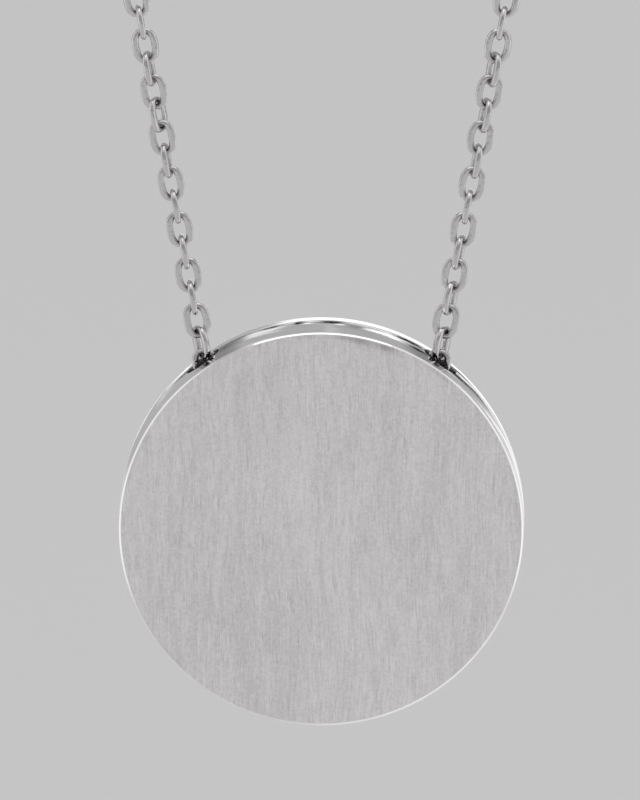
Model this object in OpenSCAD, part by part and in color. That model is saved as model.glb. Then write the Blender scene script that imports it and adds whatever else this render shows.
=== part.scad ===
// Slide pendant: a hollow round disc threaded on a fine cable chain that hangs as a closed loop.
// Millimetres, +Z up. The disc's brushed face looks along -Y and the chain's loop lies in the plane y = 0.
// The origin is the middle of the top of the loop, where the necklace hangs.

/* [Disc] */
// Diameter of the disc
disc_d = 16; // [13:0.5:24]
// Thickness of the disc, from its brushed face to its back
disc_t = 3; // [2.7:0.1:4]
// Thickness of the front plate
face_t = 0.4; // [0.3:0.05:0.6]
// Thickness of the back plate
back_t = 0.5; // [0.3:0.05:0.6]
// Thickness of the rim's wall
rim_t = 0.4; // [0.3:0.05:0.6]
// Width of the polished bevel round the brushed face
bevel_w = 0.12; // [0.06:0.01:0.2]
// Radius of the rounded edge at the back
back_edge_r = 0.25; // [0.1:0.05:0.4]
// Distance of the soldered seam in the rim from the back
seam_from_back = 1.05; // [0.6:0.05:1.5]
// Depth and half width of the fine line at the seam
seam_depth = 0.05; // [0.03:0.01:0.1]

/* [Chain] */
// Length of the whole loop of chain, with its clasp
chain_length = 457; // [400:1:560]
// Width of a link
link_w = 1.04; // [0.95:0.01:1.1]
// Thickness of a link's wire
wire_d = 0.23; // [0.2:0.01:0.25]
// Distance from one link's middle to the next, along a straight run
link_pitch = 0.93; // [0.9:0.01:1]
// Room left between links that hook into each other
link_clear = 0.11; // [0.1:0.01:0.14]
// Links inside the disc, from one hole to the other
inner_links = 9; // [7:2:11]
// Links above the disc on each side that are made one by one
side_links = 13; // [5:2:17]
// Lean of each side of the chain from the vertical, in degrees
side_lean = 10.25; // [8:0.25:14]
// Lean of the link that passes through a hole, in degrees
hole_link_lean = 24; // [18:1:34]

/* [Chain holes] */
// Room between a link and the wall of its hole, if it ran through the middle
hole_clear = 0.28; // [0.25:0.01:0.35]
// Distance of a hole's middle outside the chain, which bears on the hole's inner side
hole_offset = 0.09; // [0:0.01:0.12]
// Distance of the holes behind the middle of the disc's thickness
hole_back = 0.15; // [0:0.05:0.2]

/* [Clasp] */
// Diameter of the clasp's barrel
clasp_d = 2.2; // [1.8:0.1:3]
// Length of the clasp's barrel
clasp_l = 6; // [4:0.5:9]
// Diameter of the eye at each end of the clasp
eye_d = 1.8; // [1.6:0.1:2.4]
// Thickness of the eyes
eye_t = 0.4; // [0.3:0.05:0.5]

/* [Hidden] */

ROUND_FN = 128;
WIRE_FN = 48;
TUBE_SIDES = 8;
SIDE_RINGS = 24;
ARC_RINGS = 14;
// How far a cut runs past the metal
CUT = 1;

// Links. Those in the loop's plane are flat, the others stand edge-on, turn by turn.
link_l = link_pitch + 2 * wire_d + link_clear;
// A flat link turns on its neighbours about the middles of its end arcs, flat_reach apart,
// and an edge-on link spans edge_reach from one such middle to the next.
flat_reach = link_l - link_w;
edge_reach = 2 * link_pitch - flat_reach;

// The link in the right hole, from its bend inside the disc to its bend at the hole's mouth
bend_in_x = (inner_links - 1) / 2 * link_pitch + edge_reach / 2;
bend_out_x = bend_in_x + flat_reach * sin(hole_link_lean);

// Holes, whose mouths lie on the rim's outer surface
disc_r = disc_d / 2;
hole_d = link_w + 2 * hole_clear;
hole_angle = asin((bend_out_x + hole_offset) / disc_r);
mouth_up = disc_r * cos(hole_angle);

// The loop: two leaning sides that touch one arc at the top
held_in_disc = 2 * bend_in_x + 2 * flat_reach;
loop_r = (chain_length - held_in_disc + 2 * bend_out_x / sin(side_lean))
    / (2 / tan(side_lean) + PI * (1 + side_lean / 90));
sides_meet_z = -loop_r - loop_r / sin(side_lean);
bend_out_z = sides_meet_z + bend_out_x / tan(side_lean);
bend_in_z = bend_out_z - flat_reach * cos(hole_link_lean);
disc_z = bend_out_z - mouth_up;
face_y = -disc_t / 2 - hole_back;

// The side's run of links, measured up the side from the bend at the hole's mouth
side_up = [sin(side_lean), cos(side_lean)];
side_links_end = edge_reach / 2 + (side_links - 1) * link_pitch + link_l / 2;
tube_start = side_links_end + link_clear;
side_end = (loop_r / tan(side_lean)) - bend_out_x / sin(side_lean);

// The clasp, with its axis level with the chain's two ends and a quarter of each eye in the barrel
eye_x = clasp_l / 2 + eye_d / 4;
clasp_reach = eye_x + eye_d / 2;
arc_end = 90 - asin((clasp_reach + link_clear) / loop_r);
clasp_z = loop_r * sin(arc_end) - loop_r;

// A point on the right side, and one on the arc at an angle from the +X side
function side_point(up) = [bend_out_x, bend_out_z] + up * side_up;
function arc_point(angle) = [loop_r * cos(angle), loop_r * sin(angle) - loop_r];

// Rings of the tube: [x, z, direction of the chain from the X axis]
function tube_rings() = concat(
    [for (i = [0:SIDE_RINGS])
        let (p = side_point(tube_start + (side_end - tube_start) * i / SIDE_RINGS))
            [p.x, p.y, 90 - side_lean]],
    [for (i = [1:ARC_RINGS])
        let (angle = -side_lean + (arc_end + side_lean) * i / ARC_RINGS, p = arc_point(angle))
            [p.x, p.y, 90 + angle]]
);

function ring_points(ring, radius) = [for (j = [0:TUBE_SIDES - 1])
    let (a = 360 * (j + 0.5) / TUBE_SIDES, out = radius * cos(a))
        [ring.x + out * sin(ring.z), radius * sin(a), ring.y - out * cos(ring.z)]
];

function tube_faces(last) = concat(
    [[for (j = [0:TUBE_SIDES - 1]) j]],
    [for (i = [0:last - 1], j = [0:TUBE_SIDES - 1])
        let (k = (j + 1) % TUBE_SIDES, low = i * TUBE_SIDES, high = low + TUBE_SIDES)
            [low + k, low + j, high + j, high + k]],
    [[for (j = [TUBE_SIDES - 1:-1:0]) last * TUBE_SIDES + j]]
);

// Half of the disc's section: distance from the axis along X, depth from the face along Y
module disc_section() {
    seam_y = disc_t - seam_from_back;
    difference() {
        union() {
            square([disc_r, disc_t - back_edge_r]);
            square([disc_r - back_edge_r, disc_t]);
            translate([disc_r - back_edge_r, disc_t - back_edge_r]) circle(back_edge_r, $fn = ROUND_FN);
        }
        translate([0, face_t]) square([disc_r - rim_t, disc_t - face_t - back_t]);
        polygon([[disc_r - bevel_w, 0], [disc_r, bevel_w], [disc_r + CUT, bevel_w],
            [disc_r + CUT, -CUT], [disc_r - bevel_w, -CUT]]);
        polygon([[disc_r - seam_depth, seam_y], [disc_r + seam_depth, seam_y - 2 * seam_depth],
            [disc_r + seam_depth, seam_y + 2 * seam_depth]]);
        translate([-disc_r, -CUT]) square([disc_r, disc_t + 2 * CUT]);
    }
}

module disc() {
    color([0.72, 0.72, 0.73])
    translate([0, 0, disc_z])
    difference() {
        translate([0, face_y, 0]) rotate([-90, 0, 0]) rotate_extrude($fn = ROUND_FN) disc_section();
        for (side = [-1, 1])
            rotate([0, side * hole_angle, 0])
                translate([0, 0, disc_r - 2 * rim_t])
                    cylinder(d = hole_d, h = 3 * rim_t, $fn = ROUND_FN);
    }
}

// One link, standing along Z and flat in the plane y = 0
module link() {
    mean_r = (link_w - wire_d) / 2;
    for (end = [0, 1])
        mirror([0, 0, end])
            translate([0, 0, flat_reach / 2])
                rotate([90, 0, 0])
                    rotate_extrude(angle = 180, $fn = WIRE_FN)
                        translate([mean_r, 0]) circle(d = wire_d, $fn = WIRE_FN);
    for (side = [-1, 1])
        translate([side * mean_r, 0, 0])
            cylinder(d = wire_d, h = flat_reach, center = true, $fn = WIRE_FN);
}

// A link at a point of the loop's plane, leaning from the vertical, flat or edge-on
module placed_link(point, lean, flat) {
    translate([point.x, 0, point.y])
        rotate([0, lean, 0])
            rotate([0, 0, flat ? 0 : 90])
                link();
}

module chain_front() {
    last = (inner_links - 1) / 2;
    color([0.8, 0.8, 0.82]) {
        for (i = [-last:last])
            placed_link([i * link_pitch, bend_in_z], 90, (last - abs(i)) % 2 == 1);
        for (side = [0, 1])
            mirror([side, 0, 0]) {
                placed_link([bend_in_x + bend_out_x, bend_in_z + bend_out_z] / 2, hole_link_lean, true);
                for (j = [0:side_links - 1])
                    placed_link(side_point(edge_reach / 2 + j * link_pitch), side_lean, j % 2 == 1);
            }
    }
}

// The hidden rest of the chain, as a tube of the links' width on each side
module chain_back() {
    rings = tube_rings();
    color([0.8, 0.8, 0.82])
    for (side = [0, 1])
        mirror([side, 0, 0])
            polyhedron(
                points = [for (ring = rings) each ring_points(ring, link_w / 2)],
                faces = tube_faces(len(rings) - 1)
            );
}

// A plain barrel with a flat eye at each end for the chain's end links
module clasp() {
    color([0.76, 0.76, 0.78])
    translate([0, 0, clasp_z]) {
        rotate([0, 90, 0]) cylinder(d = clasp_d, h = clasp_l, center = true, $fn = ROUND_FN);
        for (side = [-1, 1])
            translate([side * eye_x, 0, 0])
                rotate([90, 0, 0])
                    linear_extrude(height = eye_t, center = true)
                        difference() {
                            circle(d = eye_d, $fn = WIRE_FN);
                            circle(d = eye_d - 2 * eye_t, $fn = WIRE_FN);
                        }
    }
}

disc();
chain_front();
chain_back();
clasp();
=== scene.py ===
import math

import bpy
import numpy as np
from mathutils import Matrix, Vector, noise
from mathutils.geometry import delaunay_2d_cdt


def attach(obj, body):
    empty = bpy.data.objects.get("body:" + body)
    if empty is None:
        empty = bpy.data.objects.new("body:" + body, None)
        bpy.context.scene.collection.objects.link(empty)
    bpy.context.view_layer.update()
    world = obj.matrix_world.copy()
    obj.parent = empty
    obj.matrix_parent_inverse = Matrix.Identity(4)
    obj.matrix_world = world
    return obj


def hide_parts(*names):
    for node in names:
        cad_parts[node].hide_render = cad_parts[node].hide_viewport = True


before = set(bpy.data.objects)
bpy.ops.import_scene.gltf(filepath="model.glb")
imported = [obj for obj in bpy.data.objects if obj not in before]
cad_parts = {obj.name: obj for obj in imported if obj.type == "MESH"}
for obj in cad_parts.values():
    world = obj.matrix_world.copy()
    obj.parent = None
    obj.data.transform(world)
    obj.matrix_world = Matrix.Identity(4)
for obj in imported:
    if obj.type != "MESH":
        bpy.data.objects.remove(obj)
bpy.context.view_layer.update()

# The slide pendant's looks. Sizes are millimetres in the part's own frame: +Z up, the disc's brushed
# face along -Y, the chain's loop in the plane y = 0 and the origin at the top of the loop.
MM = 0.001

# Disc
DISC_R = 8.0
DISC_Z = -207.888
FACE_Y = -1.65
BACK_Y = 1.35
PLATE_T = 0.35
BACK_T = 0.5
RIM_T = 0.4
INNER_R = DISC_R - RIM_T
REBATE_Y = FACE_Y + PLATE_T
BACK_ROUND = 0.25

# The bevel is narrow at the top of the disc and wider, by a power of the height, at the bottom
BEVEL_W = 0.06
LOW_BEVEL_W = 0.11
BEVEL_GROWTH = 1.5
BEVEL_ANGLE = 45
BEVEL_ROUND = 0.03
BAND_START = FACE_Y + LOW_BEVEL_W + BEVEL_ROUND

# The rim is fullest at its seam, where the two halves meet at a slight angle, and waved by polishing
SEAM_Y = 0.30
SEAM_HALF = 0.045
SEAM_DEPTH = 0.014
FRONT_SLOPE = 0.018
FRONT_DROP = 0.014
BACK_SLOPE = 0.010
BACK_DROP = 0.050
WAVE_HEIGHT = 0.005
WAVE_LONG = 1.7
WAVE_DEEP = 0.6
WAVE_FADE = 0.2
BACK_WAVE_SHARE = 0.3
RIPPLE_HEIGHT = 0.35
RIPPLE_SCALE = 2.3

# Where the crown meets the rounded edge at the back
BACK_TURN = math.atan(BACK_SLOPE + 2 * BACK_DROP / (BACK_Y - SEAM_Y))
BAND_END = BACK_Y - BACK_ROUND * (1 - math.sin(BACK_TURN))

# Chain holes, drilled towards the disc's axis
HOLE_ANGLE = 35.954
HOLE_SIDES = (1, -1)
HOLE_R = 0.76
HOLE_ROUND = 0.04
MOUTH_R = HOLE_R + HOLE_ROUND
# Painted shade on the walls of the chain holes
HOLE_SHADE = 0.7

# How finely the disc is divided: rows by depth or by distance from the axis, turns in degrees, and
# the seam's rows as shares of its groove's half width
DISC_SEGMENTS = 360
ROW_STEP = 0.09
SEAM_ROWS = (-1, -0.7, -0.45, -0.2, 0, 0.2, 0.45, 0.7, 1)
BEVEL_TURNS = (-45, -30, -15, 0)
BACK_ROUND_STEPS = 8
BACK_RADII = (7.0, 5.5, 4.0, 2.5, 1.2, 0.0)
FACE_RADII = (0.0, 1.0, 2.5, 4.0, 5.5, 6.8, 7.4, 7.6, 7.7, 7.8)
INSIDE_RADII = (0.0, 2.5, 5.0, 6.5)
INSIDE_DEPTHS = (-1.1, -0.95, *(-0.8 + 0.2 * i for i in range(9)))

# How finely a chain hole is divided, the least share of a step between two turns round it, the ring
# just outside its mouth, and the part of the rim's grid that gives way to it
HOLE_SEGMENTS = 96
HOLE_TURN_CLEAR = 0.3
HOLE_MARGIN = 0.02
MOUTH_STEPS = 4
PATCH_MARGIN = 0.25

# How near counts as on one level, in one place and on the rim's wall, and the digits that count
SAME_LEVEL = 1e-6
SAME_PLACE = 1e-7
ON_WALL = 0.01
POINT_DIGITS = 5

# Chain
LINK_L = 1.44
LINK_W = 1.05
LINK_SQUARENESS = 2.45
SIDE_WIRE_W = 0.29
SIDE_WIRE_T = 0.25
SIDE_WIRE_SQUARENESS = 3.4
END_WIRE_W = 0.23
END_WIRE_T = 0.22
END_WIRE_SQUARENESS = 2.1
PITCH = 0.93
INNER_PITCH = 0.94
EDGE_REACH = 1.4
INNER_LINKS = 9
SIDE_LINKS = 13
SIDE_LEAN = 10.25
HOLE_LINK_LEAN = 24.0
HOLE_LINK_TURN = 7.0
BEND_IN = (4.42, -201.832)
BEND_OUT = (4.6071, -201.412)
SIDE_END = 163.65
LOOP_R = 34.2746

# Points round a link and round its wire, and the small turn that gives the wire's direction
FRONT_LINK_MESH = (56, 16)
BACK_LINK_MESH = (20, 8)
SMALL_TURN = 0.01

# Where a link's painted shade starts: on the way to its ends, from 0 to 1, and round its wire towards the
# link's opening, from -1 outside to 1 inside
SHADE_ENDS = 0.7
SHADE_INNER = -0.4

# The hidden links are turned to and fro in a wave: its height in degrees, its step in radians a link
BACK_LINK_TURN = 7
BACK_LINK_STEP = 1.7

# Clasp
CLASP_Z = -0.2914
CLASP_D = 2.2
CLASP_L = 6.0
CLASP_ROUND = 0.35
CLASP_ROUND_TURNS = range(0, 91, 15)
CLASP_ROWS = (0.8, 0.6, 0.3, 0.1)
CLASP_SEGMENTS = 96
GROOVE_HALF = 0.09
GROOVE_DEPTH = 0.05
EYE_X = 3.45
EYE_D = 1.8
EYE_T = 0.4
EYE_CLEAR = 0.07
EYE_SEGMENTS = 64
EYE_SIDES = 16

CLASP_STAINS = [
    # distance from the middle along X, half length, strength
    (0.0, 0.12, 0.7),
    (3.02, 0.18, 0.45),
    (4.05, 0.20, 0.30),
]

# Angles in degrees above which an edge is sharp
SHARP_ANGLE = 35
LINK_SHARP_ANGLE = 60

# How far each link of the photographed sides is turned from its place at right angles to the next,
# in degrees, from the hole upwards: edge-on links in even rows, flat links in odd ones
LINK_TURNS = [
    # left, right
    (30, -30),
    (4, -5),
    (3, -22),
    (-3, -8),
    (5, -14),
    (2, 4),
    (4, -5),
    (-4, 3),
    (-8, 8),
    (-4, -4),
    (-29, 14),
    (-6, 5),
    (-12, 20),
]

# Low swellings of the rim beside the seam
RIM_SWELLS = [
    # angle from the top in degrees, depth, half length in degrees, half height, height
    (19.0, -0.75, 6.0, 0.60, 0.022),
    (-18.0, -0.60, 7.0, 0.55, 0.014),
    (48.0, -0.30, 5.0, 0.45, 0.010),
    (5.2, -0.40, 1.3, 0.24, 0.017),
    (-4.5, -0.20, 1.9, 0.18, 0.009),
    (13.5, -0.55, 2.4, 0.30, 0.012),
]

# Painted dark reflections and shade on the rim, along its soldered seam and by the chain holes
RIM_SHADE_AND_REFLECTIONS = [
    # angle from the top in degrees, depth, half length in degrees, half height, strength
    (-42.0, 0.03, 3.6, 0.16, 0.8),
    (-29.0, -0.25, 3.5, 0.35, 0.4),
    (-24.0, 0.22, 5.0, 0.10, 0.7),
    (-14.3, 0.18, 2.6, 0.14, 1.2),
    (-6.3, 0.12, 1.2, 0.20, 1.5),
    (3.0, 0.14, 2.9, 0.19, 1.7),
    (10.0, -0.20, 3.5, 0.40, 0.35),
    (25.5, 0.10, 4.0, 0.17, 1.6),
    (28.5, -0.50, 2.8, 0.20, 1.3),
    (41.5, -0.42, 5.0, 0.20, 1.2),
    (42.5, 0.40, 4.0, 0.14, 1.2),
    (50.0, -0.18, 4.5, 0.19, 1.0),
]

# Painted shade on the brushed face, close under its bevel
FACE_SHADE = [
    # angle from the top in degrees, distance from the axis, half length in degrees, half height, strength
    (6.0, 7.82, 3.0, 0.10, 0.32),
    (11.5, 7.78, 3.0, 0.14, 0.45),
    (19.0, 7.79, 3.0, 0.13, 0.45),
    (-4.0, 7.85, 3.0, 0.07, 0.20),
    (36.0, 7.82, 4.0, 0.08, 0.20),
    (-70.0, 7.85, 9.0, 0.06, 0.10),
]

# Finishes: the part of a noise's range that is put to use, what painted shade, painted dark reflections
# and tarnish make of any silver, and a size along Y so long that lines run straight through the part
NOISE_WIDE = (0.25, 0.75)
NOISE_MIDDLE = (0.3, 0.7)
SILVER_TINT = (1.0, 0.977, 0.988)
TARNISH_AND_SHADE_BRIGHTNESS = 0.06
TARNISH_AND_SHADE_ROUGHNESS = 0.25
ENDLESS = 100.0
STREAK_ROUGHNESS = 0.6

# Brushed face
FACE_BRIGHTNESS = 0.905
FACE_ROUGHNESS = 0.42
FACE_ROUGHNESS_SHIFT = 0.5
FACE_ANISOTROPY = 0.55
FACE_GRAIN_SCALE = 10.0
FACE_GRAIN_DEPTH = 0.08
SWAY_SCALE = 0.16
SWAY_REACH = 0.35
FINE_STREAK = (0.038, 0.8)
FINE_STREAK_DEPTH = 0.12
FINE_RELIEF = 0.004
FINE_RELIEF_STRENGTH = 0.25
CLUSTER = (0.5, 1.6)
CLUSTER_RANGE = (0.42, 0.58, 0.25, 1.0)
BRUSH_STREAKS = [
    # width, length, depth of the shade
    (0.10, 1.5, 0.048),
    (0.30, 3.0, 0.038),
    (1.1, 6.0, 0.030),
    (4.0, 12.0, 0.035),
]

# Worn silver
GRAIN_SCALE = 9.0
GRAIN_TARNISH_AND_SHADE_RANGE = (0.35, 0.65, 0.6, 1.1)
GRAIN_GLOSS_SHIFT = 0.3
CLOUD_SCALE = 1.3
CLOUD_SHIFT = 0.04

# The disc's satin back
SATIN_START = 1.33
SATIN_FULL = BACK_Y - 0.005
SATIN_ROUGHNESS = 0.38
SATIN_LINE = (0.07, 2.0)
SATIN_SHADE = (-0.20, 0.04)


# Meshes

def turns_round(count, shift=0.0):
    """Evenly spaced angles round a whole turn, moved on by a share of a step."""
    return [math.tau * (i + shift) / count for i in range(count)]


def bumps(table, angle, height):
    """The sum of a table's soft spots at an angle in degrees and a height."""
    total = 0.0
    for at, level, half_length, half_height, strength in table:
        away = ((angle - at) / half_length) ** 2 + ((height - level) / half_height) ** 2
        total += strength * math.exp(-away)
    return total


class MeshParts:
    """Points in millimetres, faces and, by point, painted shade and tarnish, gathered for one mesh."""

    def __init__(self):
        self.points = []
        self.faces = []
        self.tarnish_and_shade = []
        self.at = {}

    def point(self, p):
        """The number of the point at p, the same for points that coincide."""
        key = tuple(round(c, POINT_DIGITS) for c in p)
        if key not in self.at:
            self.at[key] = len(self.points)
            self.points.append(p)
        return self.at[key]

    def face(self, corners):
        """Adds a face through the corners, left out where they fall together on the axis."""
        numbers = []
        for corner in corners:
            n = self.point(corner)
            if n not in numbers:
                numbers.append(n)
        if len(numbers) > 2:
            self.faces.append(numbers)

    def skin(self, rows):
        """Joins each closed row to the next, of equal length, with a band of faces."""
        for low, high in zip(rows, rows[1:]):
            for i in range(len(low)):
                k = (i + 1) % len(low)
                self.face((low[i], low[k], high[k], high[i]))


def make_piece(name, parts, material, body, nodes, sharp_angle=SHARP_ANGLE):
    """Makes one object from gathered points and faces, and ties it to the frame."""
    mesh = bpy.data.meshes.new(name)
    mesh.from_pydata([tuple(c * MM for c in p) for p in parts.points], [], parts.faces)
    mesh.attributes.new("tarnish_and_shade", "FLOAT", "POINT").data.foreach_set("value", parts.tarnish_and_shade)
    mesh.materials.append(material)
    mesh.shade_smooth()
    mesh.set_sharp_from_angle(angle=math.radians(sharp_angle))
    mesh.validate()
    mesh.update()
    piece = bpy.data.objects.new(name, mesh)
    bpy.context.scene.collection.objects.link(piece)
    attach(piece, body)
    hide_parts(*nodes)


# The disc's section and its painted shade and dark reflections

def bevel_width(angle):
    """Width of the polished bevel round the face at an angle from the top."""
    lowness = 0.5 - 0.5 * math.cos(angle)
    return BEVEL_W + (LOW_BEVEL_W - BEVEL_W) * lowness ** BEVEL_GROWTH


def crown_drop(y):
    """How far the rim's outer surface lies inside its full radius at a depth."""
    if y < SEAM_Y:
        away = SEAM_Y - y
        return FRONT_SLOPE * away + FRONT_DROP * (away / (SEAM_Y - FACE_Y)) ** 2
    away = y - SEAM_Y
    return BACK_SLOPE * away + BACK_DROP * (away / (BACK_Y - SEAM_Y)) ** 2


def rim_radius(y, angle):
    """Radius of the rim's outer surface: crowned, grooved at the seam and faintly waved."""
    r = DISC_R - crown_drop(y)
    t = abs(y - SEAM_Y) / SEAM_HALF
    if t < 1:
        r -= SEAM_DEPTH * (0.5 + 0.5 * math.cos(math.pi * t))
    along = Vector((math.sin(angle), math.cos(angle), 0)) * DISC_R / WAVE_LONG
    place = Vector((along.x, along.y, y / WAVE_DEEP))
    wave = noise.noise(place) + RIPPLE_HEIGHT * noise.noise(RIPPLE_SCALE * place)
    front = min(1.0, max(0.0, (SEAM_Y - y) / WAVE_FADE))
    height = WAVE_HEIGHT * wave * (BACK_WAVE_SHARE + (1 - BACK_WAVE_SHARE) * front)
    height += front * bumps(RIM_SWELLS, math.degrees(math.remainder(angle, math.tau)), y)
    edge = min(1.0, (y - BAND_START) / WAVE_FADE, (BAND_END - y) / WAVE_FADE)
    return r + height * max(0.0, edge)


def inner_radius(y, angle):
    """Radius of the rim's inner surface, a plain cylinder."""
    return INNER_R


def plate_radius(angle):
    """Radius of the front plate's edge, where the bevel starts."""
    return DISC_R - crown_drop(BAND_START) - bevel_width(angle)


def round_disc(point):
    """The angle from the top and the distance from the axis of a point of the disc."""
    x, _, z = point
    return math.atan2(x, z - DISC_Z), math.hypot(x, z - DISC_Z)


def rim_shade_and_reflections(point):
    """Painted dark reflections and shade at a point of the disc's body: on the rim, and painted shade in
    the holes.
    """
    angle, r = round_disc(point)
    y = point[1]
    away = math.hypot(r * math.sin(abs(angle) - math.radians(HOLE_ANGLE)), y)
    if away < HOLE_R + HOLE_ROUND / 2 and r > INNER_R - ON_WALL:
        return HOLE_SHADE
    if r < DISC_R - RIM_T / 2:
        return 0.0
    return min(1.0, bumps(RIM_SHADE_AND_REFLECTIONS, math.degrees(angle), y))


def face_shade(point):
    """Painted shade at a point of the brushed front plate."""
    angle, r = round_disc(point)
    return min(1.0, bumps(FACE_SHADE, math.degrees(angle), r))


# The disc's pieces

def disc_point(r, y, angle):
    """The point at a distance from the disc's axis, a depth along Y and an angle from the top."""
    return (r * math.sin(angle), y, DISC_Z + r * math.cos(angle))


def lathe_rows(section, angles):
    """Points of the section's rows (distance from the axis, depth) at each angle from the top."""
    return [[disc_point(r, y, a) for a in angles] for r, y in section]


def spread(low, high, step):
    """Evenly spaced depths from low to high, both included, no more than a step apart."""
    count = math.ceil((high - low) / step)
    return [low + (high - low) * i / count for i in range(count + 1)]


def seam_depths():
    """Depths across the seam's groove."""
    return [SEAM_Y + SEAM_HALF * t for t in SEAM_ROWS]


def hole_turns(tied_r):
    """Angles round a hole, about evenly spaced, and where the seam's rows meet a ring of a radius."""
    tied = []
    for y in seam_depths():
        turn = math.asin(y / tied_r)
        tied += [turn % math.tau, math.pi - turn]
    step = math.tau / HOLE_SEGMENTS
    clear = HOLE_TURN_CLEAR * step
    free = [
        i * step for i in range(HOLE_SEGMENTS)
        if min(abs(math.remainder(i * step - turn, math.tau)) for turn in tied) > clear
    ]
    return sorted(tied + free)


def hole_ring(ring_r, centre, tied_r):
    """Points round a hole, in turn: (angle round the disc, depth)."""
    return [
        (centre + math.asin(ring_r * math.cos(turn) / DISC_R), ring_r * math.sin(turn))
        for turn in hole_turns(tied_r)
    ]


def holed_band(parts, depths, radius_at, ring_r, outward):
    """A cylindrical band with both chain holes in it. Returns the ring of points round each hole."""
    step = math.tau / DISC_SEGMENTS
    reach = (ring_r + PATCH_MARGIN) / DISC_R
    patches = []
    for side in HOLE_SIDES:
        centre = side * math.radians(HOLE_ANGLE)
        first = math.floor((centre - reach) / step)
        last = math.ceil((centre + reach) / step)
        patches.append((centre, first, last))
    covered = {i % DISC_SEGMENTS for _, first, last in patches for i in range(first, last)}
    for low, high in zip(depths, depths[1:]):
        for i in range(DISC_SEGMENTS):
            if i not in covered:
                corners = ((low, i), (low, i + 1), (high, i + 1), (high, i))
                add_band_face(parts, [(k * step, y) for y, k in corners], radius_at, outward)
    rings = []
    for centre, first, last in patches:
        columns = [k * step for k in range(first, last + 1)]
        ring = hole_ring(ring_r, centre, MOUTH_R)
        rings.append([disc_point(radius_at(y, angle), y, angle) for angle, y in ring])
        fill_patch(parts, depths, columns, ring, radius_at, centre, ring_r, outward)
    return rings


def add_band_face(parts, spots, radius_at, outward):
    """Adds a face of the band through its spots (angle, depth), turned to the right side."""
    corners = [disc_point(radius_at(y, angle), y, angle) for angle, y in spots]
    parts.face(corners if outward else corners[::-1])


def fill_patch(parts, depths, columns, ring, radius_at, centre, ring_r, outward):
    """Triangles between the edge of a rectangle of the band's grid and the ring round a hole."""
    margin_r = ring_r + HOLE_MARGIN
    spots = ring + hole_ring(margin_r, centre, margin_r)
    mouth_ids = list(range(len(ring)))
    margin_ids = list(range(len(ring), len(spots)))
    edges = []
    for ids in (mouth_ids, margin_ids):
        edges += zip(ids, ids[1:] + ids[:1])
    grid = {}
    wide, tall = len(columns) - 1, len(depths) - 1
    for j, y in enumerate(depths):
        for i, angle in enumerate(columns):
            away = math.hypot((angle - centre) * DISC_R, y) - margin_r
            if j in (0, tall) or i in (0, wide) or away > HOLE_MARGIN:
                grid[(i, j)] = len(spots)
                spots.append((angle, y))
    loop = [(i, 0) for i in range(wide)] + [(wide, j) for j in range(tall)]
    loop += [(i, tall) for i in range(wide, 0, -1)] + [(0, j) for j in range(tall, 0, -1)]
    edges += [(grid[a], grid[b]) for a, b in zip(loop, loop[1:] + loop[:1])]
    for j in range(1, tall):
        kept = [i for i in range(wide + 1) if (i, j) in grid]
        left = [grid[(i, j)] for i in kept if columns[i] < centre]
        right = [grid[(i, j)] for i in kept if columns[i] >= centre]
        level = [n for n in mouth_ids + margin_ids if abs(spots[n][1] - depths[j]) < SAME_LEVEL]
        if level:
            level.sort(key=lambda n: spots[n][0])
            left += level[:2]
            right = level[2:] + right
        edges += list(zip(left, left[1:])) + list(zip(right, right[1:]))
    flat = [Vector((angle * DISC_R, y)) for angle, y in spots]
    _, _, faces, origins, _, _ = delaunay_2d_cdt(flat, edges, [], 0, SAME_PLACE)
    for corners in faces:
        ids = [origins[c][0] for c in corners]
        if max(ids) >= len(ring):
            add_band_face(parts, [spots[n] for n in ids], radius_at, outward)


def hole_walls(parts, outer_ring, inner_ring, side):
    """The wall of one hole, rounded at its mouth."""
    centre = side * math.radians(HOLE_ANGLE)
    axis = Vector((math.sin(centre), 0, math.cos(centre)))
    middle = Vector((0, 0, DISC_Z))
    rows = [outer_ring]
    for i in range(1, MOUTH_STEPS + 1):
        turn = math.radians(90 * i / MOUTH_STEPS)
        inward = HOLE_ROUND * (1 - math.cos(turn))
        shrink = (HOLE_R + HOLE_ROUND * (1 - math.sin(turn))) / MOUTH_R
        row = []
        for p in outer_ring:
            along = (Vector(p) - middle).dot(axis)
            across = Vector(p) - middle - along * axis
            row.append(tuple(middle + across * shrink + axis * (along - inward)))
        rows.append(row)
    parts.skin(rows + [inner_ring])


def bevel_rows(angles):
    """Rows from the front plate's edge over the bevel, rounded where it meets the rim's band."""
    front_r = DISC_R - crown_drop(BAND_START)
    corner = BEVEL_ROUND * math.tan(math.radians(BEVEL_ANGLE / 2))
    rows = [[disc_point(plate_radius(a), FACE_Y, a) for a in angles]]
    for degrees in BEVEL_TURNS:
        turn = math.radians(degrees)
        r = front_r - BEVEL_ROUND * (1 - math.cos(turn))
        along = BEVEL_ROUND * math.sin(turn)
        rows.append([disc_point(r, FACE_Y + bevel_width(a) + corner + along, a) for a in angles])
    rows.append([disc_point(front_r, BAND_START, a) for a in angles])
    return rows


def back_section():
    """The section of the rounded edge at the back and of the back plate, in to the axis."""
    start = math.degrees(BACK_TURN)
    middle_r = DISC_R - crown_drop(BAND_END) - BACK_ROUND * math.cos(BACK_TURN)
    middle_y = BACK_Y - BACK_ROUND
    section = []
    for i in range(BACK_ROUND_STEPS + 1):
        turn = math.radians(start + (90 - start) * i / BACK_ROUND_STEPS)
        section.append((middle_r + BACK_ROUND * math.cos(turn), middle_y + BACK_ROUND * math.sin(turn)))
    return section + [(r, BACK_Y) for r in BACK_RADII]


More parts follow.
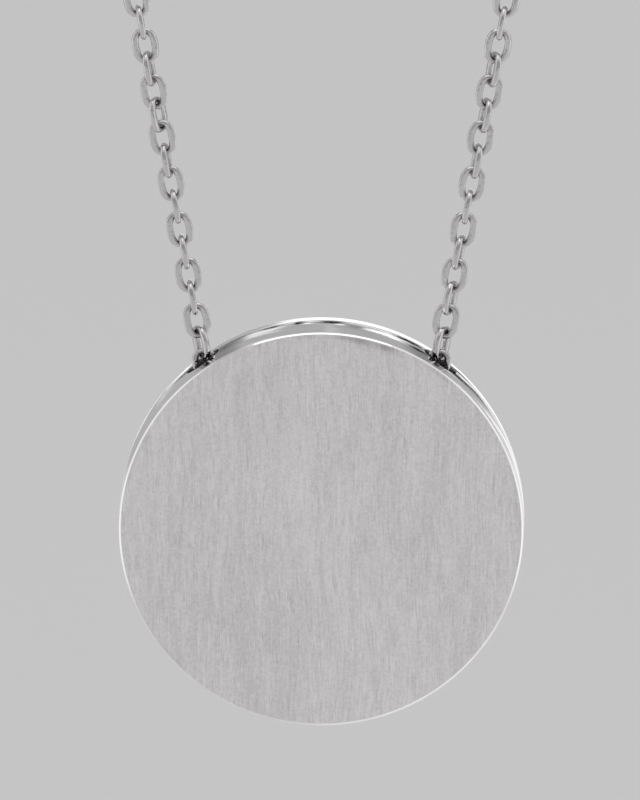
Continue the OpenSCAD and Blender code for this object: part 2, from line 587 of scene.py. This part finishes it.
def make_disc_body(material):
    """Rim wall and back plate in one, hollow, with a step inside its mouth for the front plate."""
    parts = MeshParts()
    angles = turns_round(DISC_SEGMENTS)
    bevel = bevel_rows(angles)
    parts.skin(bevel)
    parts.skin(lathe_rows(back_section(), angles))
    band = spread(BAND_START, SEAM_Y - SEAM_HALF, ROW_STEP)[:-1] + seam_depths()
    band += spread(SEAM_Y + SEAM_HALF, BAND_END, ROW_STEP)[1:]
    outer_rings = holed_band(parts, band, rim_radius, MOUTH_R, True)
    inside_y = BACK_Y - BACK_T
    inside = [REBATE_Y, *INSIDE_DEPTHS, inside_y]
    inner_rings = holed_band(parts, inside, inner_radius, HOLE_R, False)
    for outer, inner, side in zip(outer_rings, inner_rings, HOLE_SIDES):
        hole_walls(parts, outer, inner, side)
    parts.skin(lathe_rows([(r, inside_y) for r in (*INSIDE_RADII, INNER_R)], angles))
    step = lathe_rows([(INNER_R, REBATE_Y)], angles)
    step.append([disc_point(plate_radius(a), REBATE_Y, a) for a in angles])
    step.append(bevel[0])
    parts.skin(step)
    # Painted dark reflections and shade on the rim, and painted shade on the holes' walls
    parts.tarnish_and_shade = [rim_shade_and_reflections(p) for p in parts.points]
    make_piece("disc_rim_and_back", parts, material, "pendant", ["disc"])


def make_disc_face(material):
    """The brushed front plate, seated flush inside the bevel."""
    parts = MeshParts()
    angles = turns_round(DISC_SEGMENTS)
    front = lathe_rows([(r, FACE_Y) for r in FACE_RADII], angles)
    front.append([disc_point(plate_radius(a), FACE_Y, a) for a in angles])
    back = [[(x, y + PLATE_T, z) for x, y, z in row] for row in front]
    parts.skin(front + back[::-1])
    # Painted shade on the brushed face, close under its bevel
    parts.tarnish_and_shade = [face_shade(p) for p in parts.points]
    make_piece("disc_face", parts, material, "pendant", ["disc"])


# The chain's links

def squared_reach(c, s, squareness):
    """How far a squared circle reaches in the direction of a cosine and a sine."""
    return (abs(c) ** squareness + abs(s) ** squareness) ** (-1 / squareness)


def link_middle(turn):
    """The middle of a link's wire at an angle round the link: (across, along)."""
    c, s = math.cos(turn), math.sin(turn)
    reach = squared_reach(c, s, LINK_SQUARENESS)
    half_w = (LINK_W - SIDE_WIRE_W) / 2
    half_l = (LINK_L - END_WIRE_W) / 2
    return np.array((half_w * reach * c, half_l * reach * s))


def link_template(around, sides):
    """Rows of points round one link along Z, flat in the plane y = 0: an oval, flattened at its sides."""
    rows = []
    for turn in turns_round(around, 0.5):
        here = link_middle(turn)
        ahead = link_middle(turn + SMALL_TURN) - link_middle(turn - SMALL_TURN)
        out = np.array((ahead[1], -ahead[0])) / np.hypot(*ahead)
        sideness = out[0] ** 2
        width = END_WIRE_W + (SIDE_WIRE_W - END_WIRE_W) * sideness
        thickness = END_WIRE_T + (SIDE_WIRE_T - END_WIRE_T) * sideness
        squareness = END_WIRE_SQUARENESS + (SIDE_WIRE_SQUARENESS - END_WIRE_SQUARENESS) * sideness
        row = []
        for a in turns_round(sides, 0.5):
            c, s = math.cos(a), math.sin(a)
            reach = squared_reach(c, s, squareness)
            place = here + out * reach * c * width / 2
            row.append((place[0], reach * s * thickness / 2, place[1]))
        rows.append(row)
    return np.array(rows)


def link_shade(around, sides):
    """How dark each point of a link is painted, from 0 to 1: painted shade inside its end bends, where
    its neighbours meet.
    """
    dark = []
    for turn in turns_round(around, 0.5):
        endness = max(0.0, abs(math.sin(turn)) - SHADE_ENDS) / (1 - SHADE_ENDS)
        for a in turns_round(sides, 0.5):
            inwardness = max(0.0, -math.cos(a) - SHADE_INNER) / (1 - SHADE_INNER)
            dark.append(endness * inwardness)
    return dark


def place_link(template, x, z, lean, turn):
    """The template's points with the link's middle at (x, z), its length leaning from the vertical."""
    spin = Matrix.Rotation(math.radians(lean), 3, "Y") @ Matrix.Rotation(math.radians(turn), 3, "Z")
    return template @ np.array(spin).T + np.array((x, 0.0, z))


def make_links(name, placed, material, nodes):
    """One piece from placed links, each a closed ring of wire."""
    around, sides = placed[0].shape[:2]
    count = around * sides
    grid = np.arange(count).reshape(around, sides)
    beside = np.roll(grid, -1, 1)
    corners = [grid, beside, np.roll(beside, -1, 0), np.roll(grid, -1, 0)]
    quads = np.stack(corners, -1).reshape(-1, 4)
    parts = MeshParts()
    parts.points = np.concatenate([p.reshape(-1, 3) for p in placed]).tolist()
    parts.faces = np.concatenate([quads + count * i for i in range(len(placed))]).tolist()
    # Painted shade inside the links' end bends, where their neighbours meet
    parts.tarnish_and_shade = link_shade(around, sides) * len(placed)
    make_piece(name, parts, material, "chain", nodes, LINK_SHARP_ANGLE)


def side_place(up):
    """A place up the right side from the hole's mouth, round the arc at the top: (x, z, lean)."""
    lean = math.radians(SIDE_LEAN)
    if up <= SIDE_END:
        return BEND_OUT[0] + up * math.sin(lean), BEND_OUT[1] + up * math.cos(lean), SIDE_LEAN
    angle = (up - SIDE_END) / LOOP_R - lean
    return LOOP_R * math.cos(angle), LOOP_R * math.sin(angle) - LOOP_R, -math.degrees(angle)


def edge_on_turn(number):
    """Every second link of a side, from the first, stands edge-on to the front."""
    return 90 if number % 2 == 0 else 0


def make_chain_front(material):
    """The links inside the disc, through its holes and up both photographed sides."""
    template = link_template(*FRONT_LINK_MESH)
    placed = []
    last = (INNER_LINKS - 1) // 2
    for i in range(-last, last + 1):
        turn = edge_on_turn(last - abs(i))
        placed.append(place_link(template, i * INNER_PITCH, BEND_IN[1], 90, turn))
    hole_x = (BEND_IN[0] + BEND_OUT[0]) / 2
    hole_z = (BEND_IN[1] + BEND_OUT[1]) / 2
    for side, column in ((-1, 0), (1, 1)):
        lean, turn = side * HOLE_LINK_LEAN, -side * HOLE_LINK_TURN
        placed.append(place_link(template, side * hole_x, hole_z, lean, turn))
        for j in range(SIDE_LINKS):
            x, z, lean = side_place(EDGE_REACH / 2 + j * PITCH)
            turn = LINK_TURNS[j][column] + edge_on_turn(j)
            placed.append(place_link(template, side * x, z, side * lean, turn))
    make_links("chain_front_links", placed, material, ["chain_front"])


def make_chain_back(material):
    """The hidden links of both sides, up to the ones through the clasp's eyes."""
    template = link_template(*BACK_LINK_MESH)
    start = EDGE_REACH / 2 + (SIDE_LINKS - 1) * PITCH
    wire_in_eye = EYE_X + EYE_D / 2 - EYE_T - END_WIRE_W / 2 - EYE_CLEAR
    last_x = wire_in_eye + (LINK_L - END_WIRE_W) / 2
    end = SIDE_END + LOOP_R * (math.acos(last_x / LOOP_R) + math.radians(SIDE_LEAN))
    steps = 2 * round((end - start) / PITCH / 2)
    placed = []
    for side in (-1, 1):
        for j in range(1, steps + 1):
            x, z, lean = side_place(start + (end - start) * j / steps)
            turn = BACK_LINK_TURN * math.sin(BACK_LINK_STEP * j + side) + edge_on_turn(j)
            if j == steps:
                turn = edge_on_turn(j)
            placed.append(place_link(template, side * x, z, side * lean, turn))
    make_links("chain_back_links", placed, material, ["chain_back"])


# The clasp's piece

def clasp_tarnish(point):
    """Tarnish in the clasp's groove, at its soldered eyes and where the last links rub."""
    return sum(
        strength * math.exp(-((abs(point[0]) - at) / half_length) ** 2)
        for at, half_length, strength in CLASP_STAINS
    )


def barrel_section():
    """The barrel's section from end to end: (distance from its axis, place along X)."""
    barrel_r = CLASP_D / 2
    half = CLASP_L / 2
    section = [(0.0, half)]
    for degrees in CLASP_ROUND_TURNS:
        turn = math.radians(degrees)
        r = barrel_r - CLASP_ROUND + CLASP_ROUND * math.sin(turn)
        section.append((r, half - CLASP_ROUND + CLASP_ROUND * math.cos(turn)))
    section += [(barrel_r, half * t) for t in CLASP_ROWS]
    section += [(barrel_r, GROOVE_HALF), (barrel_r - GROOVE_DEPTH, 0.0)]
    return section + [(r, -x) for r, x in section[-2::-1]]


def eye_rings(side):
    """Rings of points round the wire of the eye at one end of the barrel."""
    mean_r = (EYE_D - EYE_T) / 2
    rings = []
    for a in turns_round(EYE_SEGMENTS):
        ring = []
        for b in turns_round(EYE_SIDES):
            r = mean_r + EYE_T / 2 * math.cos(b)
            x, z = side * EYE_X + r * math.cos(a), CLASP_Z + r * math.sin(a)
            ring.append((x, EYE_T / 2 * math.sin(b), z))
        rings.append(ring)
    return rings


def make_clasp(material):
    """A plain barrel with rounded ends and a round-edged eye at each end."""
    parts = MeshParts()
    turns = turns_round(CLASP_SEGMENTS)
    parts.skin([
        [(x, r * math.sin(a), CLASP_Z + r * math.cos(a)) for a in turns]
        for r, x in barrel_section()
    ])
    for side in (-1, 1):
        rings = eye_rings(side)
        parts.skin(rings + rings[:1])
    parts.tarnish_and_shade = [clasp_tarnish(p) for p in parts.points]
    make_piece("clasp_barrel_and_eyes", parts, material, "chain", ["clasp"])


# Materials

class Nodes:
    """Short calls for the nodes of a material or a world."""

    def __init__(self, owner):
        owner.use_nodes = True
        self.tree = owner.node_tree
        self.shader = self.tree.nodes.get("Principled BSDF")

    def add(self, kind, *values, **settings):
        """Adds a node, sets its fields, and links or sets its inputs in turn."""
        node = self.tree.nodes.new(kind)
        for field, value in settings.items():
            setattr(node, field, value)
        for i, value in enumerate(values):
            if value is not None:
                self.feed(node.inputs[i], value)
        return node

    def feed(self, socket, value):
        """Links a socket to another, or sets its value."""
        if isinstance(value, bpy.types.NodeSocket):
            self.tree.links.new(value, socket)
        else:
            socket.default_value = value

    def math(self, operation, *values):
        """The result of an operation on numbers."""
        return self.add("ShaderNodeMath", *values, operation=operation).outputs[0]

    def ramp(self, value, low, high, to_low, to_high):
        """The value, moved from one range to another and held inside it."""
        return self.add("ShaderNodeMapRange", value, low, high, to_low, to_high).outputs[0]

    def mix(self, share, first, second):
        """A number between two others."""
        return self.add("ShaderNodeMix", share, None, first, second, data_type="FLOAT").outputs[0]

    def stretch(self, vector, sizes):
        """The vector divided by a size along each axis."""
        scaled = self.add("ShaderNodeVectorMath", vector, operation="MULTIPLY")
        scaled.inputs[1].default_value = [1 / size for size in sizes]
        return scaled.outputs[0]

    def noise(self, vector, scale, detail=2.0, roughness=0.5):
        """Smooth noise from 0 to 1."""
        node = self.add("ShaderNodeTexNoise", vector)
        node.inputs["Scale"].default_value = scale
        node.inputs["Detail"].default_value = detail
        node.inputs["Roughness"].default_value = roughness
        return node.outputs["Fac"]

    def lines(self, vector, width, length, detail):
        """Noise drawn out along Z into lines of a width and a length, in millimetres."""
        return self.noise(self.stretch(vector, (width, ENDLESS, length)), 1.0, detail, STREAK_ROUGHNESS)

    def tarnish_and_shade(self):
        """The painted shade, painted dark reflections and tarnish that the mesh holds at each of its
        points.
        """
        return self.add("ShaderNodeAttribute", attribute_name="tarnish_and_shade").outputs["Fac"]

    def bump(self, height, distance, strength=1.0):
        """Relief of a height from 0 to 1 that stands for a distance in millimetres."""
        node = self.add("ShaderNodeBump")
        node.inputs["Strength"].default_value = strength
        node.inputs["Distance"].default_value = distance * MM
        self.feed(node.inputs["Height"], height)
        self.feed(self.shader.inputs["Normal"], node.outputs[0])

    def grey(self, socket, *channels):
        """Links one of the shader's colours to three numbers."""
        self.feed(self.shader.inputs[socket], self.add("ShaderNodeCombineColor", *channels).outputs[0])

    def colour(self, brightness):
        """Gives the shader a near-grey colour with silver's faint warmth."""
        self.grey("Base Color", *[self.math("MULTIPLY", brightness, tint) for tint in SILVER_TINT])


def new_material(name):
    """A metal and its nodes, with the place on the piece in millimetres."""
    material = bpy.data.materials.new(name)
    nodes = Nodes(material)
    nodes.shader.inputs["Metallic"].default_value = 1.0
    where = nodes.add("ShaderNodeTexCoord").outputs["Object"]
    return material, nodes, nodes.stretch(where, (MM, MM, MM))


def brushed_silver():
    """Silver brushed up and down, with clustered upright streaks in its colour, gloss and relief."""
    material, nodes, where = new_material("brushed_silver")
    sway = nodes.noise(where, SWAY_SCALE, detail=1.0)
    sway = nodes.ramp(sway, 0.0, 1.0, -SWAY_REACH, SWAY_REACH)
    swayed = nodes.add("ShaderNodeVectorMath", where, operation="ADD")
    nodes.feed(swayed.inputs[1], nodes.add("ShaderNodeCombineXYZ", sway).outputs[0])
    swayed = swayed.outputs[0]

    fine = nodes.lines(swayed, *FINE_STREAK, detail=1.0)
    clusters = nodes.ramp(nodes.lines(swayed, *CLUSTER, detail=2.0), *CLUSTER_RANGE)
    streaks = nodes.ramp(fine, *NOISE_WIDE, -FINE_STREAK_DEPTH, FINE_STREAK_DEPTH)
    shift = nodes.math("MULTIPLY", streaks, clusters)
    for width, length, depth in BRUSH_STREAKS:
        layer = nodes.lines(swayed, width, length, detail=1.0)
        shift = nodes.math("ADD", shift, nodes.ramp(layer, *NOISE_WIDE, -depth, depth))

    grain = nodes.noise(where, FACE_GRAIN_SCALE)
    grain = nodes.ramp(grain, *NOISE_WIDE, -FACE_GRAIN_DEPTH, FACE_GRAIN_DEPTH)
    # The mesh's mark on the face is painted shade close under the bevel
    tarnish_and_shade = nodes.tarnish_and_shade()
    clean = nodes.math("ADD", nodes.math("ADD", shift, grain), FACE_BRIGHTNESS)
    nodes.colour(nodes.mix(tarnish_and_shade, clean, TARNISH_AND_SHADE_BRIGHTNESS))
    shine = nodes.math("MULTIPLY", shift, FACE_ROUGHNESS_SHIFT)
    nodes.feed(nodes.shader.inputs["Roughness"], nodes.math("SUBTRACT", FACE_ROUGHNESS, shine))
    nodes.shader.inputs["Anisotropic"].default_value = FACE_ANISOTROPY
    tangent = nodes.add("ShaderNodeTangent", direction_type="RADIAL", axis="Z")
    nodes.feed(nodes.shader.inputs["Tangent"], tangent.outputs[0])
    nodes.bump(fine, FINE_RELIEF, FINE_RELIEF_STRENGTH)
    return material


def worn_silver(name, brightness, gloss, relief, relief_scale, satin_back=False):
    """Silver with faint clouding and relief, darkened where the mesh's painted shade, painted dark
    reflections and tarnish say.

    With satin_back, what lies at the disc's back has a satin finish with fine upright lines."""
    material, nodes, where = new_material(name)
    grain = nodes.noise(where, GRAIN_SCALE, detail=3.0)
    tarnish_and_shade = nodes.math("MULTIPLY", nodes.tarnish_and_shade(), nodes.ramp(grain, *GRAIN_TARNISH_AND_SHADE_RANGE))
    dull, bright = brightness * (1 - CLOUD_SHIFT), brightness * (1 + CLOUD_SHIFT)
    clean = nodes.ramp(nodes.noise(where, CLOUD_SCALE, detail=3.0), *NOISE_MIDDLE, dull, bright)
    glossy, rough = gloss * (1 - GRAIN_GLOSS_SHIFT), gloss * (1 + GRAIN_GLOSS_SHIFT)
    rubbed = nodes.ramp(grain, *NOISE_MIDDLE, glossy, rough)
    if satin_back:
        depth = nodes.add("ShaderNodeSeparateXYZ", where).outputs["Y"]
        satin = nodes.ramp(depth, SATIN_START, SATIN_FULL, 0.0, 1.0)
        lines = nodes.lines(where, *SATIN_LINE, detail=2.0)
        lines = nodes.ramp(lines, *NOISE_WIDE, *SATIN_SHADE)
        clean = nodes.math("ADD", clean, nodes.math("MULTIPLY", satin, lines))
        rubbed = nodes.mix(satin, rubbed, SATIN_ROUGHNESS)
    # Painted shade, painted dark reflections and tarnish darken the colour where the mesh's mark says
    nodes.colour(nodes.mix(tarnish_and_shade, clean, TARNISH_AND_SHADE_BRIGHTNESS))
    nodes.feed(nodes.shader.inputs["Roughness"], nodes.mix(tarnish_and_shade, rubbed, TARNISH_AND_SHADE_ROUGHNESS))
    # The same painted shade, painted dark reflections and tarnish also darken the reflection's edge tint
    edge = nodes.mix(tarnish_and_shade, 1.0, 0.0)
    nodes.grey("Specular Tint", edge, edge, edge)
    nodes.bump(nodes.noise(where, relief_scale), relief)
    return material


# The studio, with its sizes in metres and the camera's sensor in millimetres

FLOOR_Z = -0.40
FLOOR_HALF = 8.0
FLOOR_GREY = 0.80
FLOOR_ROUGHNESS = 0.8
BACKDROP_LEVEL = 0.6
ROOM_LEVEL = 0.42
ROOM_PATCHES = [
    # azimuth from straight behind towards the right, elevation, radius, softness, level
    (0, -90, 86, 6, 0.62),
    (70, -60, 25, 15, 0.80),
    (180, 45, 25, 20, 0.30),
    (180, 78, 35, 25, 0.87),
    (-109, 53, 9, 6, 0.45),
    (95, 20, 22, 12, 0.92),
    (-95, 20, 22, 12, 0.87),
    (92, -14, 17, 10, 1.00),
    (-92, -14, 17, 10, 0.95),
    (1.2, -0.6, 13.1, 0.5, 1.15),
    (1.0, 16.0, 1.0, 0.6, 0.54),
    (-17.0, 0.0, 13.5, 1.5, 0.44),
    (-10.8, -2.8, 2.6, 0.7, 1.20),
    (-7.6, 10.2, 2.3, 1.6, 0.85),
    (14.5, 9.5, 3.0, 1.5, 0.23),
    (-14.0, 8.3, 2.9, 1.8, 0.25),
]
CARD_PLACE = Vector((0.0, -0.05, 0.9))
CARD_TARGET = Vector((0.0, -0.05, 0.0))
CARD_SIZE = 1.0
CARD_LEVEL = 0.45
CAMERA_AZIMUTH = 0.6
CAMERA_ELEVATION = 13.0
CAMERA_DISTANCE = 0.42
CAMERA_TARGET = Vector((-0.06, 0.0, -203.01)) * MM
CAMERA_NEAR = 0.01
CAMERA_FAR = 30.0
PIXELS_PER_MM = 25.42
FRAME_PIXELS = 800
SENSOR = 36.0


def add_object(name, data):
    """A new object of the scene with its mesh, lamp or camera."""
    thing = bpy.data.objects.new(name, data)
    bpy.context.scene.collection.objects.link(thing)
    return thing


def aim(thing, way):
    """Turns a camera or a lamp so that it looks along a direction."""
    thing.rotation_euler = way.to_track_quat("-Z", "Y").to_euler()


def make_camera():
    """A long lens a little above the disc and to its right."""
    data = bpy.data.cameras.new("camera")
    data.sensor_width = SENSOR
    data.lens = SENSOR * PIXELS_PER_MM * (CAMERA_DISTANCE / MM) / FRAME_PIXELS
    data.clip_start = CAMERA_NEAR
    data.clip_end = CAMERA_FAR
    camera = add_object("camera", data)
    a, e = math.radians(CAMERA_AZIMUTH), math.radians(CAMERA_ELEVATION)
    back = Vector((math.sin(a) * math.cos(e), -math.cos(a) * math.cos(e), math.sin(e)))
    camera.location = CAMERA_TARGET + back * CAMERA_DISTANCE
    aim(camera, -back)
    bpy.context.scene.camera = camera


def make_floor():
    """A plain pale floor below the hanging disc."""
    mesh = bpy.data.meshes.new("floor")
    corners = [(-1, -1), (1, -1), (1, 1), (-1, 1)]
    mesh.from_pydata([(FLOOR_HALF * x, FLOOR_HALF * y, FLOOR_Z) for x, y in corners], [], [(0, 1, 2, 3)])
    material = bpy.data.materials.new("floor_paper")
    shader = Nodes(material).shader
    shader.inputs["Base Color"].default_value = (FLOOR_GREY, FLOOR_GREY, FLOOR_GREY, 1)
    shader.inputs["Roughness"].default_value = FLOOR_ROUGHNESS
    mesh.materials.append(material)
    floor = add_object("floor", mesh)
    floor.visible_glossy = False


def direction(azimuth, elevation):
    """The way from the disc, the azimuth in degrees from straight behind it towards its right."""
    a, e = math.radians(azimuth), math.radians(elevation)
    return Vector((math.sin(a) * math.cos(e), math.cos(a) * math.cos(e), math.sin(e)))


def make_room():
    """The studio's walls as far light, with round patches for its lamps and dark flags, laid in turn."""
    world = bpy.data.worlds.new("studio")
    nodes = Nodes(world)
    where = nodes.add("ShaderNodeTexCoord").outputs["Generated"]
    light = ROOM_LEVEL
    for azimuth, elevation, radius, soft, level in ROOM_PATCHES:
        towards = nodes.add("ShaderNodeVectorMath", where, operation="DOT_PRODUCT")
        towards.inputs[1].default_value = direction(azimuth, elevation)
        outer = math.cos(math.radians(radius + soft))
        inner = math.cos(math.radians(max(0.0, radius - soft)))
        patch = nodes.add("ShaderNodeMapRange", towards.outputs["Value"], outer, inner, 0.0, 1.0)
        patch.interpolation_type = "SMOOTHSTEP"
        light = nodes.mix(patch.outputs[0], light, level)
    seen = nodes.add("ShaderNodeLightPath").outputs["Is Camera Ray"]
    background = nodes.tree.nodes["Background"]
    nodes.feed(background.inputs["Strength"], nodes.mix(seen, light, BACKDROP_LEVEL))
    background.inputs["Color"].default_value = (1, 1, 1, 1)
    bpy.context.scene.world = world


def make_card():
    """A large soft card overhead that lights and mirrors in the metal but never shows itself."""
    data = bpy.data.lights.new("overhead", "AREA")
    data.shape = "RECTANGLE"
    data.size = CARD_SIZE
    data.size_y = CARD_SIZE
    data.energy = math.pi * CARD_SIZE * CARD_SIZE * CARD_LEVEL
    card = add_object("overhead", data)
    card.location = CARD_PLACE
    aim(card, CARD_TARGET - CARD_PLACE)
    card.visible_camera = False


make_camera()
rim_silver = worn_silver(
    "rim_silver", brightness=0.94, gloss=0.07, relief=0.002, relief_scale=6.0, satin_back=True
)
clasp_silver = worn_silver(
    "polished_silver", brightness=0.90, gloss=0.10, relief=0.004, relief_scale=4.0
)
link_silver = worn_silver(
    "link_silver", brightness=0.67, gloss=0.11, relief=0.021, relief_scale=6.0
)
make_disc_body(rim_silver)
make_disc_face(brushed_silver())
make_chain_front(link_silver)
make_chain_back(link_silver)
make_clasp(clasp_silver)
make_floor()
make_room()
make_card()
bpy.context.scene.view_settings.view_transform = "Standard"
